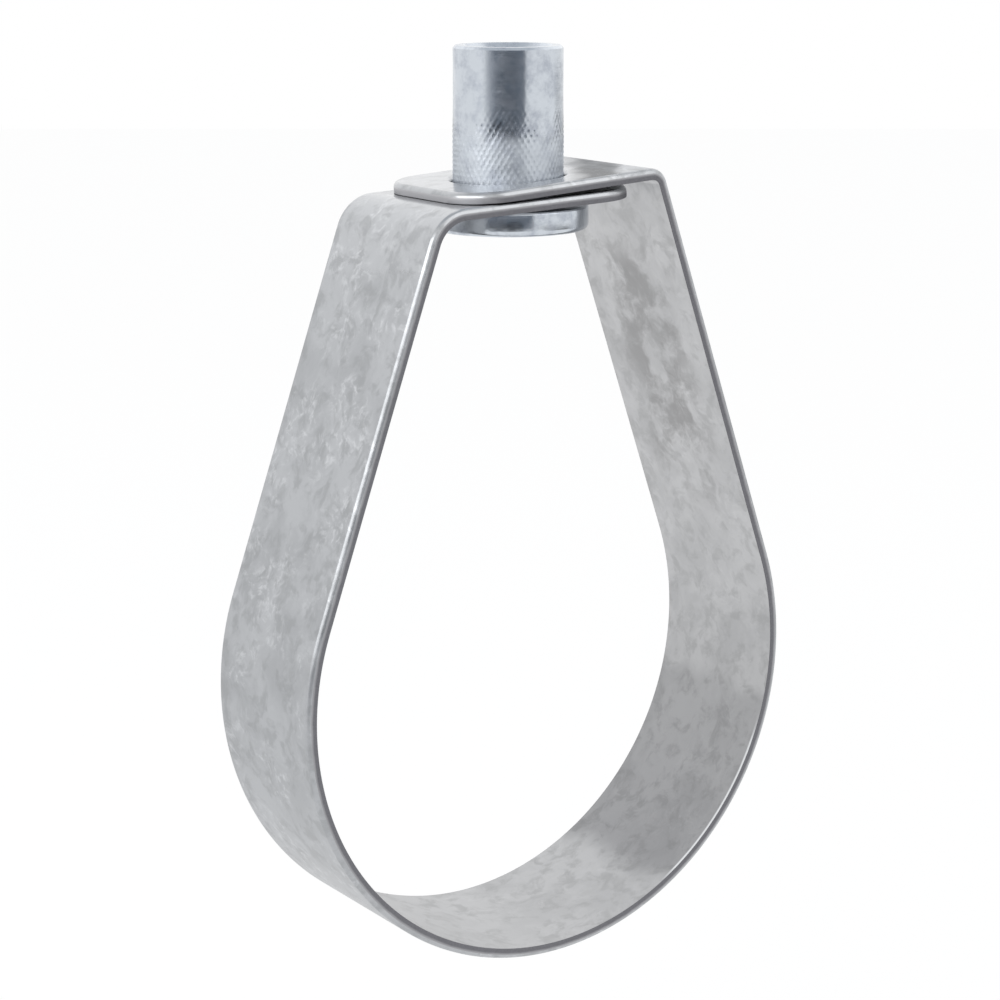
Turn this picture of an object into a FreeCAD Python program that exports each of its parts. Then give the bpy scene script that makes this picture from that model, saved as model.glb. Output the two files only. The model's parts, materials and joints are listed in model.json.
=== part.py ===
import FreeCAD, Part
import os
from math import acos, atan2, cos, degrees, hypot, pi, radians, sin, tan

# Adjustable swivel ring hanger for one pipe: a punched strip of sheet steel bent into a teardrop
# ring, and a flanged and knurled insert nut that stands through the two overlapping tabs.
# Millimetres. The origin is on the nut's axis, in the plane where the nut's flange carries the
# ring. +Z runs up the rod, X runs across the ring and Y runs along the pipe.

# Pipe and ring
pipe_outside_diameter = 60.3    # nominal 2 inch, DN 50
pipe_clearance = 1.6            # all round, between the pipe and the ring
ring_drop = 54.0                # from the flange seat down to the pipe's centre

# Strip
strip_thickness = 1.25
strip_width = 20.0
tab_half_width = 15.5           # nut axis to the sharp corner where the tab turns into the leg
lower_tab_setback = 3.5         # from that corner back to the lower tab's free end
upper_tab_setback = 4.1         # the same for the upper tab
tab_corner_radius = 5.5         # round corners of the free ends
tab_gap = 0.1                   # between the tabs where the upper one comes down on the lower
lower_tab_rise = 2.4            # degrees, springback that tips the lower tab up on the flange's rim
upper_tab_rise = 3.7            # degrees, springback that leaves a wedge between the tabs
lower_bend_radius = 3.8         # inside, left leg into the lower tab
upper_bend_radius = 1.0         # inside, right leg into the upper tab
outer_edge_break = 0.3          # rolled side of the sheared edges

# Insert nut
barrel_radius = 6.2
barrel_height = 17.7            # above the flange seat
barrel_chamfer = 0.2
flange_radius = 9.1
flange_thickness = 2.8
flange_lower_round = 0.7
flange_upper_round = 0.35
barrel_root_round = 0.3
knurl_height = 0.08             # how far the knurl stands proud of the barrel
knurl_start = 0.7               # above the flange seat, inside the tab holes
knurl_full_end = 9.6            # end of the full knurl
knurl_fade_length = 2.4         # where the knurl runs out above that
hole_clearance = 0.22           # all round, between the knurl and the tab holes

# Thread 3/8-16: the bore stands at the thread's crests
thread_major_diameter = 9.525
thread_pitch = 25.4 / 16
thread_height_share = 1.0825    # crest to crest across the bore, in pitches below the major diameter
countersink_proud = 0.3         # countersink mouth beyond the thread's major radius

ring_inner_radius = pipe_outside_diameter / 2 + pipe_clearance
ring_outer_radius = ring_inner_radius + strip_thickness
knurl_radius = barrel_radius + knurl_height
hole_radius = knurl_radius + hole_clearance
bore_radius = (thread_major_diameter - thread_height_share * thread_pitch) / 2
mouth_radius = thread_major_diameter / 2 + countersink_proud


def at(x, z):
    return FreeCAD.Vector(x, 0, z)


def unit(angle):
    return at(cos(angle), sin(angle))


# The strip is four flat panels joined by three bends. A panel is the angle of its outward
# normal, from +X towards +Z, and how far its inner surface lies from the origin along that
# normal. The angles grow along the strip, from the lower tab round the ring to the upper tab.
ring_centre = at(0, -ring_drop)
corner_height = strip_thickness + ring_drop
corner_distance = hypot(tab_half_width, corner_height)
leg_angle = atan2(corner_height, tab_half_width) - acos(ring_outer_radius / corner_distance)

lower_tab_angle = pi / 2 + radians(lower_tab_rise)
left_leg_angle = pi - leg_angle
right_leg_angle = 2 * pi + leg_angle
upper_tab_angle = 5 * pi / 2 + radians(upper_tab_rise)


def panel_through(angle, point):
    return angle, unit(angle).dot(point)


def on_panel(panel, x, depth):
    """The point at x that lies at a depth outwards from a tab's inner surface."""
    angle, reach = panel
    return at(x, (reach + depth - x * cos(angle)) / sin(angle))


# The lower tab lies on the rounded upper rim of the flange, and the free end of the upper tab
# comes down on the lower tab.
rim_centre = at(flange_upper_round - flange_radius, -flange_upper_round)
rim_contact = rim_centre + unit(lower_tab_angle) * flange_upper_round
lower_tab = panel_through(lower_tab_angle, rim_contact)
lower_tab_end = on_panel(lower_tab, tab_half_width - lower_tab_setback, 0)
upper_tab_end = on_panel(lower_tab, upper_tab_setback - tab_half_width, strip_thickness + tab_gap)
left_leg = panel_through(left_leg_angle, ring_centre + unit(left_leg_angle) * ring_inner_radius)
right_leg = panel_through(right_leg_angle, ring_centre + unit(right_leg_angle) * ring_inner_radius)
upper_tab = panel_through(upper_tab_angle, upper_tab_end)
bends = [
    (lower_tab, left_leg, lower_bend_radius),
    (left_leg, right_leg, ring_inner_radius),
    (right_leg, upper_tab, upper_bend_radius),
]


def bend_centre(first, second, radius):
    """The point that lies the bend's radius inside both panels."""
    (a, reach_a), (b, reach_b) = first, second
    reach_a, reach_b = reach_a - radius, reach_b - radius
    turn = sin(b - a)
    return at((reach_a * sin(b) - reach_b * sin(a)) / turn, (reach_b * cos(a) - reach_a * cos(b)) / turn)


def strip_line(depth):
    """Edges along the strip from end to end, at a depth outwards from its inner surface."""
    edges = []
    here = lower_tab_end + unit(lower_tab_angle) * depth
    for first, second, radius in bends:
        centre = bend_centre(first, second, radius)
        angles = (first[0], (first[0] + second[0]) / 2, second[0])
        start, middle, finish = [centre + unit(angle) * (radius + depth) for angle in angles]
        edges.append(Part.LineSegment(here, start).toShape())
        edges.append(Part.Arc(start, middle, finish).toShape())
        here = finish
    edges.append(Part.LineSegment(here, upper_tab_end + unit(upper_tab_angle) * depth).toShape())
    return edges


def tab_hole(panel):
    """Punch through a tab, square to it, where the nut's axis crosses its middle."""
    angle, reach = panel
    normal = unit(angle)
    middle = at(0, (reach + strip_thickness / 2) / normal.z)
    length = strip_thickness + tab_gap
    return Part.makeCylinder(hole_radius, length, middle - normal * (length / 2), normal)


def rim_edges(band):
    """Edges of the strip's outline and holes on its outer surface, without the fold lines."""
    line = Part.Wire(strip_line(strip_thickness))
    rim = []
    for edge in band.Edges:
        fold = abs(edge.BoundBox.YLength - strip_width) < 1e-3
        points = [edge.valueAt(edge.FirstParameter + (edge.LastParameter - edge.FirstParameter) * share)
                  for share in (0.0, 0.4, 0.8)]
        if not fold and all(line.distToShape(Part.Vertex(p.x, 0, p.z))[0] < 1e-3 for p in points):
            rim.append(edge)
    return rim


def make_ring_band():
    inner = strip_line(0)
    outer = strip_line(strip_thickness)
    ends = [Part.LineSegment(inner[i].Vertexes[v].Point, outer[i].Vertexes[v].Point).toShape()
            for i, v in ((0, 0), (-1, -1))]
    section = Part.Face(Part.Wire(Part.sortEdges(inner + ends + outer)[0]))
    section.translate(FreeCAD.Vector(0, -strip_width / 2, 0))
    band = section.extrude(FreeCAD.Vector(0, strip_width, 0))
    end_points = [end.CenterOfMass for end in ends]
    corners = [edge for edge in band.Edges
               if any(hypot(edge.CenterOfMass.x - p.x, edge.CenterOfMass.z - p.z) < 1e-3 for p in end_points)]
    band = band.makeFillet(tab_corner_radius, corners)
    band = band.cut(tab_hole(lower_tab)).cut(tab_hole(upper_tab))
    return band.makeChamfer(outer_edge_break, rim_edges(band))


def quarter(centre_r, centre_z, radius, start_angle):
    """A quarter circle of the nut's profile that turns anticlockwise from the start angle."""
    angles = [radians(start_angle + turn) for turn in (0, 45, 90)]
    points = [at(centre_r + radius * cos(a), centre_z + radius * sin(a)) for a in angles]
    return Part.Arc(*points).toShape()


def make_swivel_nut():
    bottom = -flange_thickness
    sink = mouth_radius - bore_radius
    lower = flange_lower_round
    upper = flange_upper_round
    root = barrel_root_round
    knurl_end = knurl_full_end + knurl_fade_length
    runs = [
        [(bore_radius, bottom + sink), (mouth_radius, bottom), (flange_radius - lower, bottom)],
        quarter(flange_radius - lower, bottom + lower, lower, -90),
        [(flange_radius, bottom + lower), (flange_radius, -upper)],
        quarter(flange_radius - upper, -upper, upper, 0),
        [(flange_radius - upper, 0), (barrel_radius + root, 0)],
        quarter(barrel_radius + root, root, root, 180),
        [(barrel_radius, root), (barrel_radius, knurl_start), (knurl_radius, knurl_start + 2 * knurl_height),
         (knurl_radius, knurl_full_end), (barrel_radius, knurl_end),
         (barrel_radius, barrel_height - barrel_chamfer), (barrel_radius - barrel_chamfer, barrel_height),
         (mouth_radius, barrel_height), (bore_radius, barrel_height - sink), (bore_radius, bottom + sink)],
    ]
    edges = []
    for run in runs:
        if isinstance(run, list):
            points = [at(r, z) for r, z in run]
            edges += [Part.LineSegment(a, b).toShape() for a, b in zip(points, points[1:])]
        else:
            edges.append(run)
    profile = Part.Face(Part.Wire(Part.sortEdges(edges)[0]))
    return profile.revolve(at(0, 0), at(0, 1), 360)


def save(name, shape):
    solid = shape.Solids[0]
    solid.exportStep("parts/%s.step" % name)
    box = solid.optimalBoundingBox()
    print(name, "valid" if solid.isValid() else "not valid", "solids", len(shape.Solids),
          "volume", round(solid.Volume, 1), "X", round(box.XMin, 2), round(box.XMax, 2),
          "Y", round(box.YMin, 2), round(box.YMax, 2), "Z", round(box.ZMin, 2), round(box.ZMax, 2))


os.makedirs("parts", exist_ok=True)
print("leg leans", round(degrees(leg_angle), 2), "degrees")
save("ring_band", make_ring_band())
save("swivel_nut", make_swivel_nut())
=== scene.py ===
import json
import math

import bmesh
import bpy
from mathutils import Matrix, Vector, noise


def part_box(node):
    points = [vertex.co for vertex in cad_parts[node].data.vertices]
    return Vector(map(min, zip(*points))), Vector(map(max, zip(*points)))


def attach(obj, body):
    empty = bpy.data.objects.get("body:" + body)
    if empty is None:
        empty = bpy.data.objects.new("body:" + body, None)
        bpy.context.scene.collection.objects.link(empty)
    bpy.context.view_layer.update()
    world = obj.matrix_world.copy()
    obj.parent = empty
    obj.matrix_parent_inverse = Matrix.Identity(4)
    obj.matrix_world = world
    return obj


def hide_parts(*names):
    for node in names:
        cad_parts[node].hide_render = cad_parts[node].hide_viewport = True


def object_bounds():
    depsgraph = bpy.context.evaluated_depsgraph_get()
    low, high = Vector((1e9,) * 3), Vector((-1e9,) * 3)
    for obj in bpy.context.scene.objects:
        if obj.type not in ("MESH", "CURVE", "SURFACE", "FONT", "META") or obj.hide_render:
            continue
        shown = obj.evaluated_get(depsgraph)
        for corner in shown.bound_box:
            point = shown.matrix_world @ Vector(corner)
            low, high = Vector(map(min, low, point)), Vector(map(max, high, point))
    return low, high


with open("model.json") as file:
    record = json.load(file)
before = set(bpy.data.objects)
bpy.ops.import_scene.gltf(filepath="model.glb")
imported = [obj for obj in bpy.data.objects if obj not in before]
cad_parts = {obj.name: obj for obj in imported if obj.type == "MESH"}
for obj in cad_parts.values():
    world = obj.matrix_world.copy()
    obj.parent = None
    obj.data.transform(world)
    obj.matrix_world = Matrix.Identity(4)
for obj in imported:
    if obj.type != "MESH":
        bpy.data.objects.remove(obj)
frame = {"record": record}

mm = 0.001
tiny = 0.001 * mm        # points nearer than this are the same point
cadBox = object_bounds()
mounts = {mount["name"]: mount for mount in frame["record"]["mounts"]}
pipeSeat = mounts["pipe_seat"]
rodThread = mounts["rod_thread"]
nutLow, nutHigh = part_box("swivel_nut")
bandLow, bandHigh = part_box("ring_band")
flangeRadius = (nutHigh.x - nutLow.x) / 2
flangeRound = 0.35 * mm        # on the rim that the ring lies on


# Shared by all pieces

def unit(angle):        # a direction in the plane of the ring, from +X towards +Z
    return Vector((math.cos(angle), 0, math.sin(angle)))


def newPiece(name, bm):
    mesh = bpy.data.meshes.new(name)
    bm.to_mesh(mesh)
    bm.free()
    piece = bpy.data.objects.new(name, mesh)
    bpy.context.scene.collection.objects.link(piece)
    return piece


def keepModifiers(piece):        # what the modifiers give becomes the mesh itself
    depsgraph = bpy.context.evaluated_depsgraph_get()
    made = bpy.data.meshes.new_from_object(piece.evaluated_get(depsgraph))
    piece.modifiers.clear()
    piece.data = made


def shadeByAngle(piece, degrees):
    for face in piece.data.polygons:
        face.use_smooth = True
    piece.data.set_sharp_from_angle(angle=math.radians(degrees))


def linearColour(code):        # sRGB hex to the linear values that the nodes take
    parts = [int(code[i:i + 2], 16) / 255 for i in (1, 3, 5)]
    return [p / 12.92 if p <= 0.04045 else ((p + 0.055) / 1.055) ** 2.4 for p in parts] + [1.0]


def patternScale(sizeMm):        # texture scale for a feature of this size, on coordinates in metres
    return 1 / (sizeMm * mm)


def newMaterial(name):
    material = bpy.data.materials.new(name)
    material.use_nodes = True
    material.node_tree.nodes.clear()
    return material, material.node_tree


def addNode(tree, kind, values=None, links=None, out=0, **settings):
    node = tree.nodes.new("ShaderNode" + kind)
    for name, value in settings.items():
        setattr(node, name, value)
    for key, value in (values or {}).items():
        node.inputs[key].default_value = value
    for key, source in (links or {}).items():
        tree.links.new(source, node.inputs[key])
    return node.outputs[out] if node.outputs else None


# A Mix node's sockets: its factor, two colours and their result, and the two plain values
mixFactor, mixFirst, mixSecond, mixResult = 0, 6, 7, 2
plainFirst, plainSecond = 2, 3
white = (1, 1, 1, 1)
soft = {"interpolation_type": "SMOOTHSTEP"}        # for a Map Range node that steps softly
gapSteps = {"From Min": 0.05, "From Max": 0.65, "To Min": 0.3}        # shut gaps keep 0.3 of their colour
gapSamples = 6


def gapShade(tree, creviceMm):        # the share of their colour that narrow gaps keep, 1 in the open
    gap = addNode(tree, "AmbientOcclusion", {"Distance": creviceMm * mm}, out="AO", samples=gapSamples)
    return addNode(tree, "MapRange", gapSteps, {"Value": gap}, **soft)


def bareMetal(tree, look, colour, rough, height, others=None):        # the end of each metal's material
    strength, depth = look["relief"]
    normal = addNode(tree, "Bump", {"Strength": strength, "Distance": depth}, {"Height": height})
    sources = {"Base Color": colour, "Roughness": rough, "Normal": normal, **(others or {})}
    shader = addNode(tree, "BsdfPrincipled", {"Metallic": 1.0}, sources)
    addNode(tree, "OutputMaterial", links={"Surface": shader})


# Ring band: one punched strip, bent into a teardrop

ringBand = {
    "ringRadius": pipeSeat["dims"]["r_mm"] * mm,
    "ringDrop": -pipeSeat["pos_m"][2],
    "width": bandHigh.y - bandLow.y,
    "thickness": 1.25 * mm,
    "tabHalfWidth": 15.5 * mm,
    "lowerTabSetback": 3.5 * mm,
    "upperTabSetback": 4.1 * mm,
    "tabCornerRadius": 5.5 * mm,
    "tabGap": 0.03 * mm,        # closed up a little, so that the contact draws no black line
    "lowerTabRise": math.radians(2.4),        # springback
    "upperTabRise": math.radians(3.7),
    "lowerBendRadius": 3.8 * mm,
    "upperBendRadius": 1.0 * mm,
    "holeRadius": 6.5 * mm,
    "rolledWidth": 0.55 * mm,        # outer side, where the shears went in
    "rolledDepth": 0.7 * mm,
    "burrEdge": 0.05 * mm,        # inner side, where the steel broke off
    "zincTo": 0.2,        # the zinc runs over the rolled edge until its normal has sunk to this height
    "bendStep": math.radians(1.5),
    "cornerSteps": 16,
    "holeSteps": 96,
    "rolledSteps": 6,
    "burrSteps": 2,
    "smoothBelow": 40,        # degrees between faces that are shaded as one surface
}


def onTab(angle, point, x, depth):        # at x, this deep outwards from the panel through the point
    normal = unit(angle)
    return Vector((x, 0, (normal.dot(point) + depth - x * normal.x) / normal.z))


def stripRuns(b):        # the flat and bent runs of the strip, from the lower tab's end to the upper tab's
    outerRadius = b["ringRadius"] + b["thickness"]
    cornerHeight = b["thickness"] + b["ringDrop"]
    cornerDistance = math.hypot(b["tabHalfWidth"], cornerHeight)
    legAngle = math.atan2(cornerHeight, b["tabHalfWidth"]) - math.acos(outerRadius / cornerDistance)
    angles = [math.pi / 2 + b["lowerTabRise"], math.pi - legAngle, 2 * math.pi + legAngle,
              5 * math.pi / 2 + b["upperTabRise"]]
    rimCentre = Vector((flangeRound - flangeRadius, 0, -flangeRound))
    seat = rimCentre + unit(angles[0]) * flangeRound
    start = onTab(angles[0], seat, b["tabHalfWidth"] - b["lowerTabSetback"], 0)
    finish = onTab(angles[0], seat, b["upperTabSetback"] - b["tabHalfWidth"], b["thickness"] + b["tabGap"])
    ringCentre = Vector((0, 0, -b["ringDrop"]))
    onPanel = [start, ringCentre + unit(angles[1]) * b["ringRadius"],
               ringCentre + unit(angles[2]) * b["ringRadius"], finish]
    reaches = [unit(angle).dot(point) for angle, point in zip(angles, onPanel)]
    radii = [b["lowerBendRadius"], b["ringRadius"], b["upperBendRadius"]]
    runs = []
    here = start
    travelled = 0
    for i, radius in enumerate(radii):
        first, second = angles[i], angles[i + 1]
        nearFirst, nearSecond = reaches[i] - radius, reaches[i + 1] - radius
        turn = math.sin(second - first)
        centre = Vector(((nearFirst * math.sin(second) - nearSecond * math.sin(first)) / turn, 0,
                         (nearSecond * math.cos(first) - nearFirst * math.cos(second)) / turn))
        bendStart = centre + unit(first) * radius
        length = (bendStart - here).length
        runs.append({"from": travelled, "to": travelled + length, "angle": first, "point": here, "radius": 0})
        travelled += length
        length = radius * (second - first)
        runs.append({"from": travelled, "to": travelled + length, "angle": first, "point": centre,
                     "radius": radius})
        travelled += length
        here = centre + unit(second) * radius
    length = (finish - here).length
    runs.append({"from": travelled, "to": travelled + length, "angle": angles[3], "point": here, "radius": 0})
    return runs


def bentPlace(runs, along, across, depth):        # where a point of the flat strip lies after bending
    run = next((r for r in runs if along <= r["to"]), runs[-1])
    travelled = along - run["from"]
    if run["radius"]:
        place = run["point"] + unit(run["angle"] + travelled / run["radius"]) * (run["radius"] + depth)
    else:
        place = run["point"] + unit(run["angle"] + math.pi / 2) * travelled + unit(run["angle"]) * depth
    return place + Vector((0, across, 0))


def holePlaces(b, runs):        # how far along the flat strip the two holes lie, for one axis when bent
    places = []
    for tab in (runs[0], runs[-1]):
        onAxis = onTab(tab["angle"], tab["point"], 0, b["thickness"] / 2)
        places.append(tab["from"] + (onAxis - tab["point"]).dot(unit(tab["angle"] + math.pi / 2)))
    return places


# The flat blank: X along the strip, Y across it, Z from its inner surface to its outer one

def flatBlank(b, length):
    thickness = b["thickness"]
    bm = bmesh.new()
    middle = Matrix.Translation((length / 2, 0, thickness / 2))
    stretched = Matrix.Diagonal((length, b["width"], thickness, 1))
    bmesh.ops.create_cube(bm, size=1, matrix=middle @ stretched)
    corners = [e for e in bm.edges if abs(e.verts[0].co.z - e.verts[1].co.z) > thickness / 2]
    bmesh.ops.bevel(bm, geom=corners, offset=b["tabCornerRadius"], segments=b["cornerSteps"], profile=0.5,
                    affect="EDGES", material=-1)
    return newPiece("galvanised_band", bm)


def punchHoles(blank, b, runs):
    thickness = b["thickness"]
    bm = bmesh.new()
    for along in holePlaces(b, runs):        # the punches stand out on both sides
        bmesh.ops.create_cone(bm, cap_ends=True, segments=b["holeSteps"], radius1=b["holeRadius"],
                              radius2=b["holeRadius"], depth=4 * thickness,
                              matrix=Matrix.Translation((along, 0, thickness / 2)))
    punch = newPiece("punch", bm)
    cut = blank.modifiers.new("punched", "BOOLEAN")
    cut.object = punch
    cut.operation = "DIFFERENCE"
    cut.solver = "EXACT"
    keepModifiers(blank)
    bpy.data.objects.remove(punch)


def breakEdges(bm, b):        # a broken edge on the inner side and a rolled one on the outer side
    bmesh.ops.remove_doubles(bm, verts=bm.verts, dist=tiny)
    squash = b["rolledWidth"] / b["rolledDepth"]        # flattened for its bevel, so that it comes out deeper
    sides = ((0, b["burrEdge"], b["burrSteps"], 1),
             (b["thickness"], b["rolledWidth"], b["rolledSteps"], squash))
    steep = 0.3        # a face whose normal lies lower than this is a cut one
    for level, offset, segments, squeeze in sides:
        bmesh.ops.scale(bm, vec=(1, 1, squeeze), verts=bm.verts)
        bm.normal_update()
        rim = [e for e in bm.edges if all(abs(v.co.z - level * squeeze) < tiny for v in e.verts)
               and any(abs(f.normal.z) < steep for f in e.link_faces)]
        bmesh.ops.bevel(bm, geom=rim, offset=offset, segments=segments, profile=0.5,
                        affect="EDGES", material=-1, clamp_overlap=True)
        bmesh.ops.scale(bm, vec=(1, 1, 1 / squeeze), verts=bm.verts)
    bm.normal_update()
    flat = 0.95        # only the flat inner side has zinc, and not its broken edge
    for face in bm.faces:
        face.smooth = True
        face.material_index = 0 if face.normal.z > b["zincTo"] or face.normal.z < -flat else 1


def bendStrip(bm, b, runs):
    for run in runs:        # cuts across the strip where it bends
        if run["radius"]:
            steps = math.ceil((run["to"] - run["from"]) / run["radius"] / b["bendStep"])
            for i in range(steps + 1):
                along = run["from"] + (run["to"] - run["from"]) * i / steps
                bmesh.ops.bisect_plane(bm, geom=bm.verts[:] + bm.edges[:] + bm.faces[:],
                                       plane_co=(along, 0, 0), plane_no=(1, 0, 0), dist=0.1 * tiny)
    depthLayer = bm.verts.layers.float.new("sheetDepth")        # 0 on the inner surface, 1 on the outer
    alongLayer = bm.verts.layers.float.new("alongStrip")        # metres from the lower tab's end
    for vert in bm.verts:
        vert[depthLayer] = vert.co.z / b["thickness"]
        vert[alongLayer] = vert.co.x
        vert.co = bentPlace(runs, *vert.co)
    bmesh.ops.recalc_face_normals(bm, faces=bm.faces)


def makeRingBand(b):
    runs = stripRuns(b)
    band = flatBlank(b, runs[-1]["to"])
    punchHoles(band, b, runs)
    bm = bmesh.new()
    bm.from_mesh(band.data)
    breakEdges(bm, b)
    bendStrip(bm, b, runs)
    bm.to_mesh(band.data)
    bm.free()
    shadeByAngle(band, b["smoothBelow"])
    even = band.modifiers.new("evenNormals", "WEIGHTED_NORMAL")
    even.keep_sharp = True
    keepModifiers(band)
    return band


# Insert nut: turned, knurled and threaded

insertNut = {
    "top": nutHigh.z,
    "bottom": nutLow.z,
    "flangeLowerRound": 0.7 * mm,
    "barrelRadius": 6.2 * mm,
    "barrelChamfer": 0.3 * mm,
    "rootRound": 0.3 * mm,
    "boreRadius": rodThread["dims"]["r_mm"] * mm,
    "threadMajorRadius": 9.525 / 2 * mm,
    "threadPitch": 25.4 / 16 * mm,
    "threadCrest": 1 / 4,        # flat at the crest, in pitches
    "threadRoot": 1 / 8,        # flat at the root
    "threadRows": 14,        # for each pitch
    "mouthRadius": (9.525 / 2 + 0.3) * mm,
    "knurlStart": 0.7 * mm,
    "knurlFullEnd": 7.5 * mm,
    "knurlEnd": 11.5 * mm,
    "knurlHeight": 0.08 * mm,        # crests above the barrel
    "knurlDepth": 0.14 * mm,        # crest to groove
    "knurlPatch": 1.6 * mm,        # size of the patches that the tool pressed deeper or less deep
    "knurlEven": 0.8,        # share of the depth that is pressed all over
    "knurlUneven": 0.5,        # share that the patches add or take away
    "knurlTeeth": 60,
    "knurlLean": math.radians(30),
    "knurlSteps": 4,        # for each tooth round the barrel, and for each diamond up it
    "roundSteps": 5,
    "smoothBelow": 28,        # degrees between faces that are shaded as one surface
}


def quarterRound(centreR, centreZ, radius, startDegrees, steps):
    angles = [math.radians(startDegrees + 90 * i / steps) for i in range(steps + 1)]
    return [(centreR + radius * math.cos(a), centreZ + radius * math.sin(a)) for a in angles]


def evenly(first, last, spacing):
    count = max(1, round(abs(last - first) / spacing))
    return [first + (last - first) * i / count for i in range(count + 1)]


def knurlPeriod(n):        # height of one diamond
    return 2 * math.pi * (n["barrelRadius"] + n["knurlHeight"]) / n["knurlTeeth"] / math.tan(n["knurlLean"])


def nutProfile(n):        # (radius, height) round the section, from the bottom mouth outwards
    lower, root = n["flangeLowerRound"], n["rootRound"]
    barrel, chamfer = n["barrelRadius"], n["barrelChamfer"]
    points = [(n["mouthRadius"], n["bottom"])]
    points += quarterRound(flangeRadius - lower, n["bottom"] + lower, lower, -90, n["roundSteps"])
    points += quarterRound(flangeRadius - flangeRound, -flangeRound, flangeRound, 0, n["roundSteps"])
    points += quarterRound(barrel + root, root, root, 180, n["roundSteps"])[::-1]
    points += [(barrel, z) for z in evenly(n["knurlStart"], n["knurlEnd"], knurlPeriod(n) / n["knurlSteps"])]
    points += [(barrel, n["top"] - chamfer), (barrel - chamfer, n["top"])]
    rows = evenly(n["top"], n["bottom"], n["threadPitch"] / n["threadRows"])
    sink = n["mouthRadius"] - n["boreRadius"]
    for z in rows[:-1]:
        fromEnd = min(n["top"] - z, z - n["bottom"])
        points.append((n["boreRadius"] + max(0, sink - fromEnd), z))
    return points


def threadRadius(n, angle, z):        # 60 degree inner thread, flat at crest and root
    phase = (z / n["threadPitch"] - angle / (2 * math.pi)) % 1
    climb = abs(2 * phase - 1)
    share = min(1, max(0, (climb - n["threadCrest"]) / (1 - n["threadRoot"] - n["threadCrest"])))
    return n["boreRadius"] + (n["threadMajorRadius"] - n["boreRadius"]) * share


def knurlRadius(n, angle, z):        # two families of V grooves leave pointed diamonds
    turn = angle / (2 * math.pi) * n["knurlTeeth"]
    climb = (z - n["knurlStart"]) / knurlPeriod(n)
    crest = min(abs(2 * ((turn + climb) % 1) - 1), abs(2 * ((turn - climb) % 1) - 1))
    fade = min(1, max(0, (n["knurlEnd"] - z) / (n["knurlEnd"] - n["knurlFullEnd"])))
    onBarrel = Vector((n["barrelRadius"] * math.cos(angle), n["barrelRadius"] * math.sin(angle), z))
    pressed = n["knurlEven"] + n["knurlUneven"] * noise.noise(onBarrel / n["knurlPatch"])
    return n["barrelRadius"] + fade * (n["knurlHeight"] - n["knurlDepth"] * pressed * (1 - crest))


def makeInsertNut(n):
    bm = bmesh.new()
    profile = [bm.verts.new((r, 0, z)) for r, z in nutProfile(n)]
    edges = [bm.edges.new((a, b)) for a, b in zip(profile, profile[1:] + profile[:1])]
    bmesh.ops.spin(bm, geom=profile + edges, cent=(0, 0, 0), axis=(0, 0, 1), angle=2 * math.pi,
                   steps=n["knurlSteps"] * n["knurlTeeth"], use_merge=True, use_duplicate=False)
    bmesh.ops.remove_doubles(bm, verts=bm.verts, dist=tiny)
    bmesh.ops.recalc_face_normals(bm, faces=bm.faces)
    for vert in bm.verts:
        x, y, z = vert.co
        radius, angle = math.hypot(x, y), math.atan2(y, x)
        wanted = radius
        if radius < n["mouthRadius"] - tiny:
            wanted = max(radius, threadRadius(n, angle, z))
        elif abs(radius - n["barrelRadius"]) < tiny and n["knurlStart"] - tiny < z < n["knurlEnd"]:
            wanted = knurlRadius(n, angle, z)
        vert.co.x *= wanted / radius
        vert.co.y *= wanted / radius
    nut = newPiece("plated_nut", bm)
    shadeByAngle(nut, n["smoothBelow"])
    return nut


# Galvanised sheet: hot-dip zinc on rolled steel strip. It looks light grey and softly clouded, with
# small pale scuffs where strips have rubbed, darker blotches on the inside from the forming rolls,
# smoother tabs where the dies have pressed them, drawn brighter as a painted highlight, and painted
# shade in the narrow gaps. More painted light: the inside of the legs drawn lighter, a painted
# highlight along one inner front edge, and darker reflections painted near the upper tab's bend.

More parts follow.
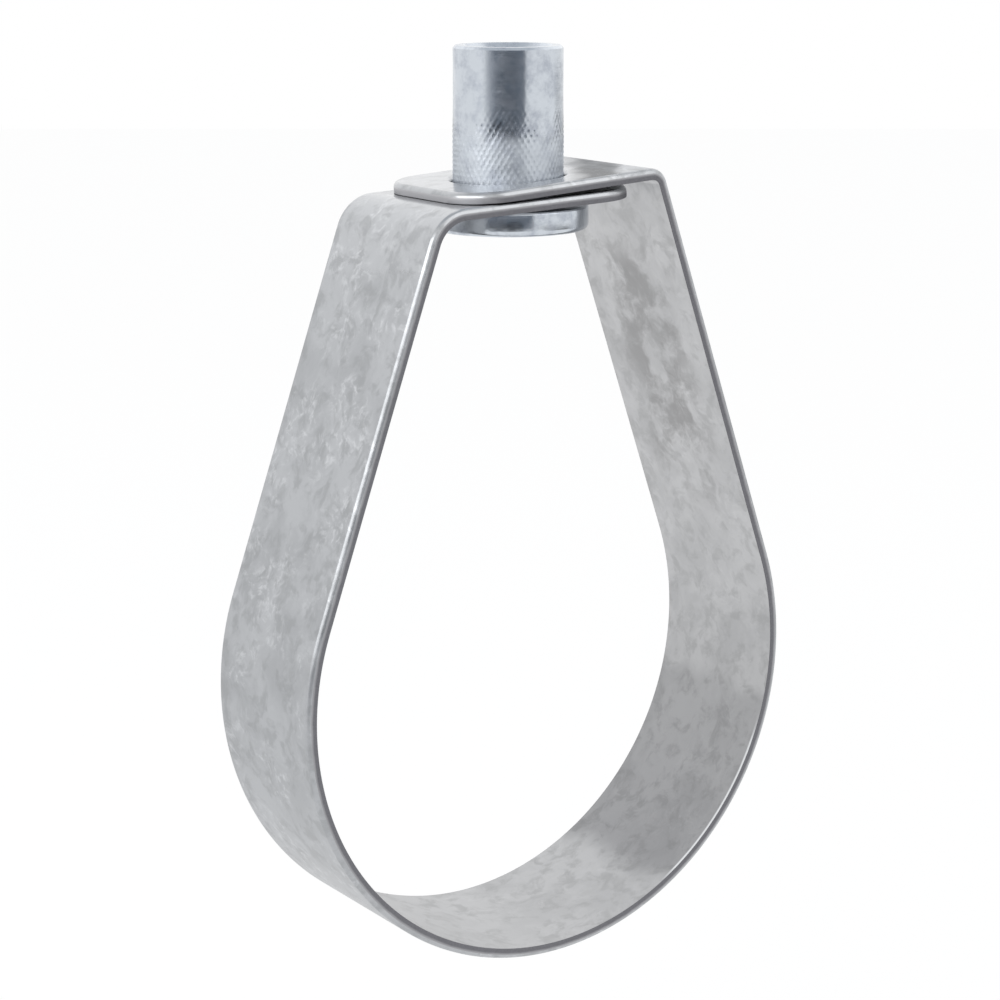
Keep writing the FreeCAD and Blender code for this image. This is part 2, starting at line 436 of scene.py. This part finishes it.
galvanisedLook = {
    "light": "#B8BABD",
    "middle": "#ABADB0",
    "dark": "#959799",
    "scuffed": "#D8DADD",
    "blotched": "#8C8D8F",
    "pressed": "#B8BABD",        # tabs and bends, drawn lighter as a painted highlight
    "innerTint": "#FCFAF8",
    "lowInsideTint": "#D6D6D7",        # the lower inside at the right, darker towards the bottom
    "edgeHighlight": "#DCDEE0",        # a painted highlight along the front edge of that part
    "shadedReflectionTint": "#A3A3A3",        # painted shade: darker reflections near the upper tab's bend, seen at a low angle
    "insidePaintedLight": 1.2,        # painted light: how much lighter the inside of the legs is drawn
    "smoothest": 0.27,
    "roughest": 0.42,
    "pressedRough": 0.22,
    "relief": (0.4, 0.03 * mm),        # strength and depth
    "grainShare": 0.4,        # how much the grain adds to the mottle's relief
    "creviceMm": 0.25,
    "warpMm": 2.0,        # how far the edges of the patterns are pushed about
    "patterns": {        # size in mm, detail and roughness
        "cloud": (8.0, 5, 0.6),
        "mottle": (2.4, 4, 0.6),
        "blotch": (5.0, 4, 0.65),
        "scuff": (1.1, 4, 0.65),
    },
    "evenPatterns": {        # the same, for those that aren't pushed about
        "scuffPatch": (7.0, 2, 0.5),
        "grain": (0.35, 3, 0.5),        # drawn coarser than the zinc's real grain, so that it shows
    },
    "cover": {        # pattern, where on it the patches set in and are full, and how much they then cover
        "light": ("cloud", 0.38, 0.62, 1.0),
        "dark": ("mottle", 0.46, 0.66, 0.5),
        "blotched": ("blotch", 0.4, 0.62, 0.85),
        "scuffed": ("scuff", 0.46, 0.72, 0.6),
    },
    "scuffedPatches": (0.46, 0.6),        # scuffs lie only in patches
    "scuffedInside": 0.25,        # and the inside has this share of them
    "cloudRough": (0.3, 0.7),        # from the smoothest clouds to the roughest
    "limits": {        # measure, where a part of the band sets in on it, and where it is full
        "inside": ("depth", 0.3, 0.1),
        "outside": ("depth", 0.3, 0.6),
        "midStrip": ("fromMiddle", 8.5 * mm, 3.0 * mm),
        "aboveRing": ("z", -42.0 * mm, -30.0 * mm),
        "belowTabs": ("z", -4.0 * mm, -9.0 * mm),
        "lowInsideBelow": ("z", -59.5 * mm, -62.5 * mm),
        "lowInsideBeyond": ("x", 14.0 * mm, 18.0 * mm),
        "edgeHighlightFront": ("straightY", -9.55 * mm, -9.75 * mm),
        "edgeHighlightBelow": ("z", -63.0 * mm, -66.5 * mm),
        "atTabs": ("z", -8.0 * mm, -5.0 * mm),
        "pressedBefore": ("x", 10.0 * mm, 7.0 * mm),
        "shadedReflectionStart": ("askew", 7.6 * mm, 11.6 * mm),
        "shadedReflectionEnd": ("askew", 16.4 * mm, 13.8 * mm),
        "upOnLegs": ("z", -66.0 * mm, -38.0 * mm),
    },
    "shadedReflectionSlant": 0.68,        # the edges of that painted shade run askew: this much x for each y
    "areas": {        # which limits bound each area of the band
        "inside": ("inside",),
        "blotched": ("midStrip", "aboveRing", "belowTabs", "inside"),
        "dull": ("lowInsideBelow", "lowInsideBeyond", "inside"),
        # a painted highlight along the inner front edge, low at the right
        "edgeHighlight": ("edgeHighlightFront", "edgeHighlightBelow", "lowInsideBelow", "lowInsideBeyond", "inside"),
        "pressed": ("atTabs", "pressedBefore", "outside"),
        "shadedReflection": ("shadedReflectionStart", "shadedReflectionEnd", "atTabs", "outside"),
        "paintedLightInside": ("upOnLegs", "inside"),
    },
    "lowInsideGrows": (-62.0 * mm, -80.0 * mm, 0.5),        # where its tint grows, and the share it starts with
}


def bandAreas(tree, look, place, warped):        # a share from 0 to 1 for each area of the band
    x, y, z = [addNode(tree, "SeparateXYZ", links={0: warped}, out=axis) for axis in "XYZ"]
    measures = {
        "x": x,
        "z": z,
        "depth": addNode(tree, "Attribute", out="Fac", attribute_name="sheetDepth"),
        "fromMiddle": addNode(tree, "Math", links={0: y}, operation="ABSOLUTE"),
        "straightY": addNode(tree, "SeparateXYZ", links={0: place}, out="Y"),
        "askew": addNode(tree, "Math", {1: -look["shadedReflectionSlant"]}, {0: y, 2: x}, operation="MULTIPLY_ADD"),
    }
    reached = {}
    for name, (measure, setsIn, full) in look["limits"].items():
        reached[name] = addNode(tree, "MapRange", {"From Min": setsIn, "From Max": full},
                                {"Value": measures[measure]}, **soft)
    areas = {}
    for name, limits in look["areas"].items():
        area = reached[limits[0]]
        for limit in limits[1:]:
            area = addNode(tree, "Math", links={0: area, 1: reached[limit]}, operation="MULTIPLY")
        areas[name] = area
    # the lower inside at the right is drawn darker towards the bottom
    setsIn, full, least = look["lowInsideGrows"]
    grown = addNode(tree, "MapRange", {"From Min": setsIn, "From Max": full, "To Min": least}, {"Value": z})
    areas["dull"] = addNode(tree, "Math", links={0: grown, 1: areas["dull"]}, operation="MULTIPLY")
    return areas


def galvanisedSheet(look):
    material, tree = newMaterial("galvanisedSheet")
    place = addNode(tree, "TexCoord", out="Object")
    push = addNode(tree, "TexNoise", {"Scale": patternScale(2 * look["warpMm"]), "Detail": 3},
                   {"Vector": place}, out="Color")
    middle = (0.5, 0.5, 0.5)        # of what the noise gives
    push = addNode(tree, "VectorMath", {1: middle}, {0: push}, operation="SUBTRACT")
    push = addNode(tree, "VectorMath", {"Scale": 2 * look["warpMm"] * mm}, {0: push}, operation="SCALE")
    warped = addNode(tree, "VectorMath", links={0: place, 1: push}, operation="ADD")
    pattern = {}
    for start, patterns in ((warped, look["patterns"]), (place, look["evenPatterns"])):
        for name, (sizeMm, detail, roughness) in patterns.items():
            pattern[name] = addNode(tree, "TexNoise", {"Scale": patternScale(sizeMm), "Detail": detail,
                                                       "Roughness": roughness}, {"Vector": start})
    areas = bandAreas(tree, look, place, warped)

    # How much of each patchy colour there is
    cover = {}
    for name, (patternName, setsIn, full, most) in look["cover"].items():
        cover[name] = addNode(tree, "MapRange", {"From Min": setsIn, "From Max": full, "To Max": most},
                              {"Value": pattern[patternName]}, **soft)
    setsIn, full = look["scuffedPatches"]
    patches = addNode(tree, "MapRange", {"From Min": setsIn, "From Max": full},
                      {"Value": pattern["scuffPatch"]})
    rubbed = addNode(tree, "MapRange", {"To Min": 1.0, "To Max": look["scuffedInside"]},
                     {"Value": areas["inside"]})
    for name, share in (("blotched", areas["blotched"]), ("scuffed", patches), ("scuffed", rubbed)):
        cover[name] = addNode(tree, "Math", links={0: cover[name], 1: share}, operation="MULTIPLY")

    # The zinc's own clouds, then the other colours and tints over them
    colour = addNode(tree, "Mix", {mixFirst: linearColour(look["middle"]),
                                   mixSecond: linearColour(look["light"])},
                     {mixFactor: cover["light"]}, out=mixResult, data_type="RGBA")
    # on the pressed tabs the lighter colour is a painted highlight
    layers = (("pressed", areas["pressed"], "MIX"), ("dark", cover["dark"], "MIX"),
              ("blotched", cover["blotched"], "MIX"), ("scuffed", cover["scuffed"], "MIX"),
              ("innerTint", areas["inside"], "MULTIPLY"), ("lowInsideTint", areas["dull"], "MULTIPLY"),
              ("edgeHighlight", areas["edgeHighlight"], "MIX"))
    for name, share, blend in layers:
        colour = addNode(tree, "Mix", {mixSecond: linearColour(look[name])},
                         {mixFactor: share, mixFirst: colour},
                         out=mixResult, data_type="RGBA", blend_type=blend)
    # painted light: the inside of the legs is drawn lighter, and narrow gaps keep their painted shade
    paintedLightAndGapShade = addNode(tree, "MapRange", {"To Min": 1, "To Max": look["insidePaintedLight"]}, {"Value": areas["paintedLightInside"]})
    gap = gapShade(tree, look["creviceMm"])
    paintedLightAndGapShade = addNode(tree, "Math", links={0: paintedLightAndGapShade, 1: gap}, operation="MULTIPLY")
    colour = addNode(tree, "VectorMath", links={0: colour, "Scale": paintedLightAndGapShade}, operation="SCALE")

    setsIn, full = look["cloudRough"]
    rough = addNode(tree, "MapRange", {"From Min": setsIn, "From Max": full, "To Min": look["smoothest"],
                                       "To Max": look["roughest"]}, {"Value": pattern["cloud"]})
    rough = addNode(tree, "Mix", {plainSecond: look["pressedRough"]},
                    {mixFactor: areas["pressed"], plainFirst: rough})
    height = addNode(tree, "Math", {1: look["grainShare"]}, {0: pattern["grain"], 2: pattern["mottle"]},
                     operation="MULTIPLY_ADD")
    # painted shade: the reflections are darkened in a patch near the upper tab's bend
    glance = addNode(tree, "Mix", {mixFirst: white, mixSecond: linearColour(look["shadedReflectionTint"])},
                     {mixFactor: areas["shadedReflection"]}, out=mixResult, data_type="RGBA")
    bareMetal(tree, look, colour, rough, height, {"Specular Tint": glance})
    return material


# Sheared steel: the rim of the strip and its holes. It looks plain grey and half matt. The outer
# half is burnished a little lighter by the shears, and the inner half broke off rougher and darker.

shearedLook = {
    "burnished": "#A0A0A3",
    "broken": "#6A6A6E",
    "brokenLight": "#838388",
    "edgeOfBreak": (0.33, 0.56),        # share of the thickness
    "breakWanders": 0.14,        # how far that edge wanders, as a share of the thickness
    "endHighlight": "#B6B6B9",        # a painted highlight on the edge of the upper tab's rounded end
    "endHighlightFrom": (4.5 * mm, 1.5 * mm),        # it sets in between these two distances from the end
    "streakMm": 0.12,        # the shears' streaks and the broken grain are drawn coarser, to show
    "wanderMm": 1.6,
    "grainMm": 0.16,
    "creviceMm": 0.4,
    "relief": (0.5, 0.02 * mm),        # strength and depth
    "smoothest": 0.36,
    "roughest": 0.52,
}


def shearedSteel(look):
    material, tree = newMaterial("shearedSteel")
    place = addNode(tree, "TexCoord", out="Object")
    depth = addNode(tree, "Attribute", out="Fac", attribute_name="sheetDepth")
    along = addNode(tree, "Attribute", out="Fac", attribute_name="alongStrip")
    wander = addNode(tree, "TexNoise", {"Scale": patternScale(look["wanderMm"]), "Detail": 3},
                     {"Vector": place})
    stretched = addNode(tree, "CombineXYZ", links={"X": along})
    streak = addNode(tree, "TexNoise", {"Scale": patternScale(look["streakMm"])}, {"Vector": stretched})
    grain = addNode(tree, "TexNoise", {"Scale": patternScale(look["grainMm"]), "Detail": 3},
                    {"Vector": place})

    # Where the shears burnished the cut, and where the painted highlight at the end lies
    swing = look["breakWanders"]
    shifted = addNode(tree, "Math", {1: swing}, {0: wander, 2: depth}, operation="MULTIPLY_ADD")
    shifted = addNode(tree, "Math", {1: swing / 2}, {0: shifted}, operation="SUBTRACT")
    low, high = look["edgeOfBreak"]
    burnished = addNode(tree, "MapRange", {"From Min": low, "From Max": high}, {"Value": shifted}, **soft)
    length = stripRuns(ringBand)[-1]["to"]
    far, near = look["endHighlightFrom"]
    endHighlightShare = addNode(tree, "MapRange", {"From Min": length - far, "From Max": length - near},
                    {"Value": along}, **soft)

    colour = addNode(tree, "Mix", {mixFirst: linearColour(look["broken"]),
                                   mixSecond: linearColour(look["brokenLight"])},
                     {mixFactor: grain}, out=mixResult, data_type="RGBA")
    for name, share in (("burnished", burnished), ("endHighlight", endHighlightShare)):
        colour = addNode(tree, "Mix", {mixSecond: linearColour(look[name])},
                         {mixFactor: share, mixFirst: colour}, out=mixResult, data_type="RGBA")
    gap = gapShade(tree, look["creviceMm"])
    colour = addNode(tree, "VectorMath", links={0: colour, "Scale": gap}, operation="SCALE")
    rough = addNode(tree, "MapRange", {"To Min": look["roughest"], "To Max": look["smoothest"]},
                    {"Value": burnished})
    height = addNode(tree, "Mix", links={mixFactor: burnished, plainFirst: grain, plainSecond: streak})
    bareMetal(tree, look, colour, rough, height)
    return material


# Bright zinc plate: electroplated on turned steel. It looks bluish white and half shiny, with
# faint rings from the turning tool, small dull clouds and a duller knurl.

platedLook = {
    "bright": "#CDD3DA",
    "dull": "#B3B9C3",
    "cloudMm": 2.2,
    "cloudEdges": (0.4, 0.7),        # where on their pattern the dull clouds set in and are full
    "cloudRough": (0.35, 0.7),        # the same for their roughness
    "ringMm": 0.12,
    "ringSpread": 0.02,        # how fast their pattern changes across the nut, where it is 1 up the nut
    "ringShare": 0.25,        # how much the rings add to the relief of the plate
    "peelMm": 0.7,
    "relief": (0.5, 0.02 * mm),        # strength and depth
    "smoothest": 0.12,
    "roughest": 0.28,
    "knurlRough": 0.42,
    "knurlTop": (6.8 * mm, 8.8 * mm),        # where the duller finish ends
    "knurlBottom": 0.1 * mm,        # and where it starts, just above the flange
    "creviceMm": 0.4,
}


def zincPlate(look):
    material, tree = newMaterial("brightZincPlate")
    place = addNode(tree, "TexCoord", out="Object")
    cloud = addNode(tree, "TexNoise", {"Scale": patternScale(look["cloudMm"]), "Detail": 5,
                                       "Roughness": 0.65}, {"Vector": place})
    spread = look["ringSpread"]
    ringPlace = addNode(tree, "Mapping", {"Scale": (spread, spread, 1.0)}, {"Vector": place})
    rings = addNode(tree, "TexNoise", {"Scale": patternScale(look["ringMm"])}, {"Vector": ringPlace})
    peel = addNode(tree, "TexNoise", {"Scale": patternScale(look["peelMm"]), "Detail": 3}, {"Vector": place})

    setsIn, full = look["cloudEdges"]
    share = addNode(tree, "MapRange", {"From Min": setsIn, "From Max": full}, {"Value": cloud}, **soft)
    colour = addNode(tree, "Mix", {mixFirst: linearColour(look["bright"]),
                                   mixSecond: linearColour(look["dull"])},
                     {mixFactor: share}, out=mixResult, data_type="RGBA")
    gap = gapShade(tree, look["creviceMm"])
    colour = addNode(tree, "VectorMath", links={0: colour, "Scale": gap}, operation="SCALE")

    setsIn, full = look["cloudRough"]
    rough = addNode(tree, "MapRange", {"From Min": setsIn, "From Max": full, "To Min": look["smoothest"],
                                       "To Max": look["roughest"]}, {"Value": cloud})
    z = addNode(tree, "SeparateXYZ", links={0: place}, out="Z")
    full, end = look["knurlTop"]
    onBarrel = addNode(tree, "MapRange", {"From Min": end, "From Max": full}, {"Value": z}, **soft)
    aboveFlange = addNode(tree, "Math", {1: look["knurlBottom"]}, {0: z}, operation="GREATER_THAN")
    knurled = addNode(tree, "Math", links={0: onBarrel, 1: aboveFlange}, operation="MULTIPLY")
    rough = addNode(tree, "Mix", {plainSecond: look["knurlRough"]}, {mixFactor: knurled, plainFirst: rough})
    height = addNode(tree, "Math", {1: look["ringShare"]}, {0: rings, 2: peel}, operation="MULTIPLY_ADD")
    bareMetal(tree, look, colour, rough, height)
    return material


# Studio: pale floor, soft tent of light, two softboxes and the camera. The tent is a little brighter
# behind the hanger. Behind the camera and low at one side it is darker, which draws the dark bands.

studio = {
    "azimuth": -34.186,        # degrees; 0 looks along +Y
    "elevation": 12.963,
    "target": Vector((-0.754, 0.512, -34.427)) * mm,
    "distance": 302.857 * mm,
    "lens": 93.95,
    "sensorWidth": 36,
    "clipStart": 0.01,
    "floorBelow": 45 * mm,        # the hanger hangs clear of the floor
    "floorWidth": 0.84,
    "floorLength": 2.1,
    "floorBehind": 0.6,        # its middle lies this far behind the hanger, so its front edge is near
    "floorColour": "#F7F7F7",
    "floorRough": 0.9,
    "floorGlow": 0.8,        # share of plain white that the camera and mirrored rays see
    "tent": [        # azimuth from the camera, anticlockwise from above; ends are where it fades in height
        {"azimuth": 180, "halfWidth": (30, 90), "ends": (0.06, 0.2), "colour": "#FFFFFF", "bright": 1.22},
        {"azimuth": 0, "halfWidth": (165, 180), "ends": (0.75, 0.95), "colour": "#D5D9DE", "bright": 1.0},
        {"azimuth": -10, "halfWidth": (6, 48), "ends": (0.12, 0.02), "colour": "#747B86", "bright": 1.0},
        {"azimuth": 9, "halfWidth": (25, 30), "ends": (0.12, 0.02), "colour": "#6C737D", "bright": 1.0},
        {"azimuth": -5, "halfWidth": (20, 30), "ends": (-0.09, -0.112), "colour": "#34373C", "bright": 1.0},
        {"azimuth": 68, "halfWidth": (25, 45), "ends": (-0.17, -0.215), "colour": "#909090", "bright": 1.0},
        {"azimuth": 139, "halfWidth": (16, 30), "ends": (-0.062, -0.108), "colour": "#959595", "bright": 1.0},
    ],
    "softboxes": [        # azimuth from the camera, rise for each metre away, width and height, watts
        {"azimuth": -42, "rise": 0.42, "size": (1.0, 0.4), "power": 2.0},
        {"azimuth": 62, "rise": 0.75, "size": (0.6, 0.6), "power": 0.6},
    ],
    "softboxAway": 0.8,
}


def cameraBack(s):        # from the hanger towards the camera
    a, e = math.radians(s["azimuth"]), math.radians(s["elevation"])
    return Vector((math.sin(a) * math.cos(e), -math.cos(a) * math.cos(e), math.sin(e)))


def makeCamera(s):
    camera = bpy.data.objects.new("camera", bpy.data.cameras.new("camera"))
    bpy.context.scene.collection.objects.link(camera)
    camera.data.sensor_width = s["sensorWidth"]
    camera.data.lens = s["lens"]
    camera.data.clip_start = s["clipStart"]
    camera.location = s["target"] + cameraBack(s) * s["distance"]
    camera.rotation_euler = (-cameraBack(s)).to_track_quat("-Z", "Y").to_euler()
    bpy.context.scene.camera = camera


def makeTent(s):
    world = bpy.data.worlds.new("tent")
    world.use_nodes = True
    bpy.context.scene.world = world
    tree = world.node_tree
    tree.nodes.clear()
    way = addNode(tree, "TexCoord", out="Generated")
    height = addNode(tree, "SeparateXYZ", links={0: way}, out="Z")
    level = addNode(tree, "VectorMath", {1: (1, 1, 0)}, {0: way}, operation="MULTIPLY")
    level = addNode(tree, "VectorMath", links={0: level}, operation="NORMALIZE")
    colour = addNode(tree, "CombineColor", {"Red": 1, "Green": 1, "Blue": 1})
    for part in s["tent"]:
        turn = math.radians(s["azimuth"] + part["azimuth"])
        facing = addNode(tree, "VectorMath", {1: (math.sin(turn), -math.cos(turn), 0)}, {0: level},
                         operation="DOT_PRODUCT", out="Value")
        inner, outer = [math.cos(math.radians(a)) for a in part["halfWidth"]]
        low, high = part["ends"]
        across = addNode(tree, "MapRange", {"From Min": outer, "From Max": inner}, {"Value": facing}, **soft)
        upwards = addNode(tree, "MapRange", {"From Min": low, "From Max": high}, {"Value": height}, **soft)
        share = addNode(tree, "Math", links={0: across, 1: upwards}, operation="MULTIPLY")
        tone = [part["bright"] * c for c in linearColour(part["colour"])[:3]] + [1.0]
        colour = addNode(tree, "Mix", {mixSecond: tone}, {mixFactor: share, mixFirst: colour},
                         out=mixResult, data_type="RGBA")
    tent = addNode(tree, "Background", {"Strength": 1.0}, {"Color": colour})
    backdrop = addNode(tree, "Background", {"Color": white, "Strength": 1.0})
    seen = addNode(tree, "LightPath", out="Is Camera Ray")
    mixed = addNode(tree, "MixShader", links={0: seen, 1: tent, 2: backdrop})
    addNode(tree, "OutputWorld", links={"Surface": mixed})


def makeFloor(s):
    bm = bmesh.new()
    turned = Matrix.Rotation(math.radians(s["azimuth"]), 4, "Z")        # it runs the way the camera looks
    middle = Matrix.Translation((0, s["floorBehind"], cadBox[0].z - s["floorBelow"]))
    stretched = Matrix.Diagonal((s["floorWidth"] / 2, s["floorLength"] / 2, 1, 1))
    bmesh.ops.create_grid(bm, x_segments=1, y_segments=1, size=1, matrix=turned @ middle @ stretched)
    floor = newPiece("floor", bm)
    material, tree = newMaterial("paperSweep")
    matt = addNode(tree, "BsdfPrincipled", {"Base Color": linearColour(s["floorColour"]),
                                            "Roughness": s["floorRough"]})
    glow = addNode(tree, "Emission", {"Color": white, "Strength": 1.0})
    seen = addNode(tree, "LightPath", out="Is Camera Ray")
    mirrored = addNode(tree, "LightPath", out="Is Glossy Ray")
    seen = addNode(tree, "Math", links={0: seen, 1: mirrored}, operation="MAXIMUM")
    share = addNode(tree, "Math", {1: s["floorGlow"]}, {0: seen}, operation="MULTIPLY")
    mixed = addNode(tree, "MixShader", links={0: share, 1: matt, 2: glow})
    addNode(tree, "OutputMaterial", links={"Surface": mixed})
    floor.data.materials.append(material)


def makeSoftboxes(s):
    for box in s["softboxes"]:
        a = math.radians(s["azimuth"] + box["azimuth"])
        away = Vector((math.sin(a), -math.cos(a), box["rise"])).normalized()
        lamp = bpy.data.lights.new("softbox", "AREA")
        lamp.shape = "RECTANGLE"
        lamp.size, lamp.size_y = box["size"]
        lamp.energy = box["power"]
        holder = bpy.data.objects.new("softbox", lamp)
        bpy.context.scene.collection.objects.link(holder)
        holder.location = s["target"] + away * s["softboxAway"]
        holder.rotation_euler = (-away).to_track_quat("-Z", "Y").to_euler()


# Putting it together

print("modelling the ring band")
galvanisedBand = makeRingBand(ringBand)
for material in (galvanisedSheet(galvanisedLook), shearedSteel(shearedLook)):
    galvanisedBand.data.materials.append(material)
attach(galvanisedBand, "ring")
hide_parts("ring_band")

print("modelling the insert nut")
platedNut = makeInsertNut(insertNut)
platedNut.data.materials.append(zincPlate(platedLook))
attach(platedNut, "insert")
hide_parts("swivel_nut")

print("building the studio")
makeCamera(studio)
makeTent(studio)
makeFloor(studio)
makeSoftboxes(studio)
bpy.context.scene.view_settings.view_transform = "Standard"

for piece in (galvanisedBand, platedNut):
    print(piece.name, "triangles:", sum(len(face.vertices) - 2 for face in piece.data.polygons))
